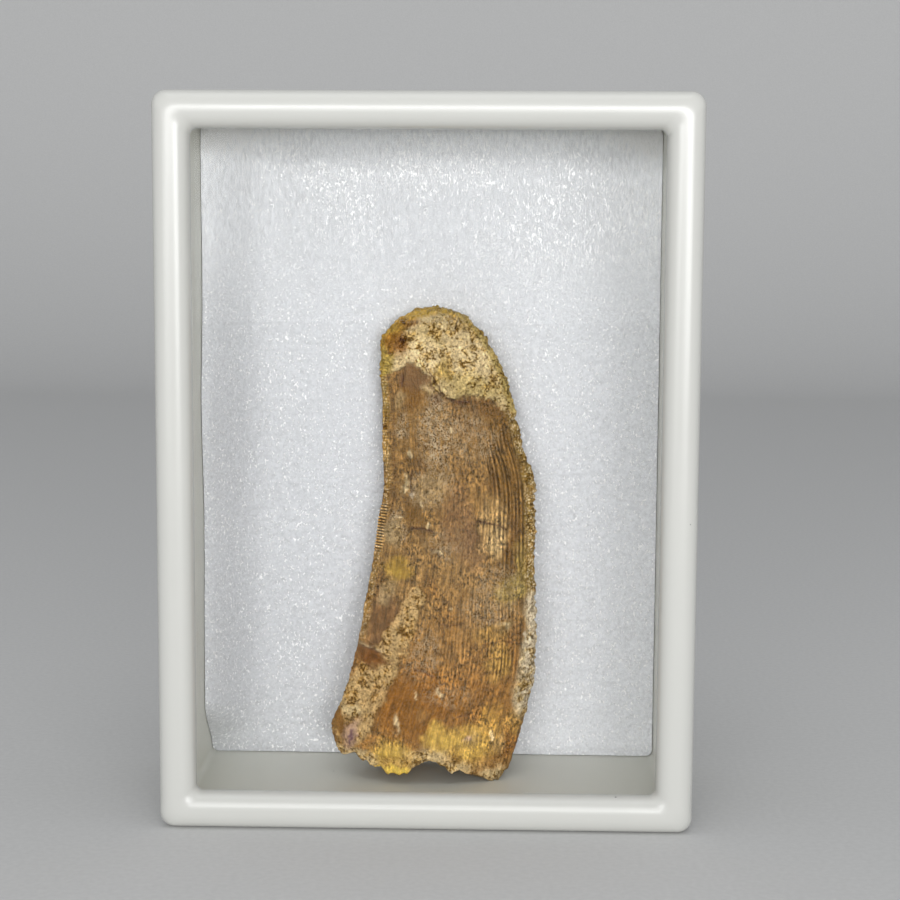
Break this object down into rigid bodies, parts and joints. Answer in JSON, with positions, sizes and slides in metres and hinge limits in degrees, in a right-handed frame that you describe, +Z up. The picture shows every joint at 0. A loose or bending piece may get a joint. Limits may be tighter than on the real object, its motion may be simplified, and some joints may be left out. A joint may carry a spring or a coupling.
{
  "type": "fossil dinosaur tooth",
  "caption": "Serrated fossil dinosaur tooth standing in a shallow white display case with a clear window and a foam-lined back.",
  "frame": {"origin": "middle of the case's underside", "axes": "+X to the viewer's right, +Y from the window to the back plate, +Z up the tooth"},
  "size_m": [0.095, 0.046, 0.13],
  "materials": {
    "case_plastic": "smooth glossy off-white moulded plastic",
    "clear_pane": "clear polished plastic sheet",
    "tray_plastic": "satin off-white moulded plastic",
    "foam": "white closed-cell foam with fine glittering cell walls",
    "fossil": "brown enamel with fine ridges, cracks and pale sandy matrix"
  },
  "bodies": {
    "root": {"lid_frame": "case_plastic", "window_pane": "clear_pane", "tray": "tray_plastic", "foam_pad": "foam", "tooth": "fossil"}
  },
  "joints": []
}
